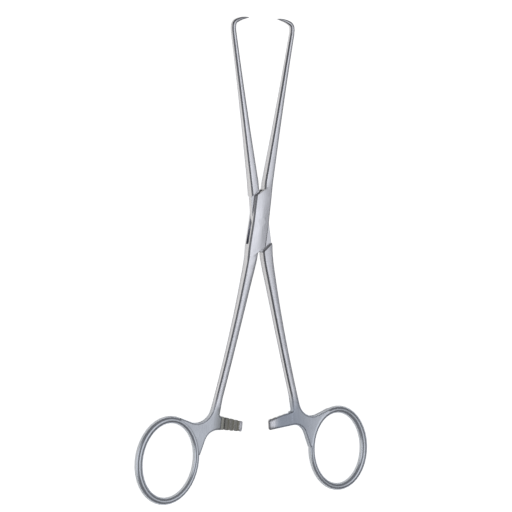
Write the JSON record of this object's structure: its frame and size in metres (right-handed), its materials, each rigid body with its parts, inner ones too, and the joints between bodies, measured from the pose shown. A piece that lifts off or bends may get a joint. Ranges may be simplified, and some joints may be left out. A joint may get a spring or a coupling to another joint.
{
  "type": "single tooth tenaculum forceps",
  "caption": "Long box-lock grasping forceps with two inward hooked points, finger rings and a ratchet between the shanks.",
  "frame": {"origin": "on the pivot's axis, at the flat back land of the box lock that the instrument rests on", "axes": "+Y along the instrument towards the hooked jaws, +X across it, +Z along the pivot, out of the front face"},
  "size_m": [0.1386, 0.2467, 0.0058],
  "materials": {
    "box_half_steel": "satin",
    "male_half_steel": "satin",
    "rivet_steel": "satin"
  },
  "bodies": {
    "box_body": {"box_half": "box_half_steel", "pivot_pin": "rivet_steel"},
    "male_body": {"male_half": "male_half_steel"}
  },
  "joints": [
    {"name": "pivot", "type": "hinge", "parent": "box_body", "child": "male_body", "pos_m": [0, 0, 0.00287], "axis": [0, 0, 1], "range_deg": [-10.4, 70]}
  ]
}
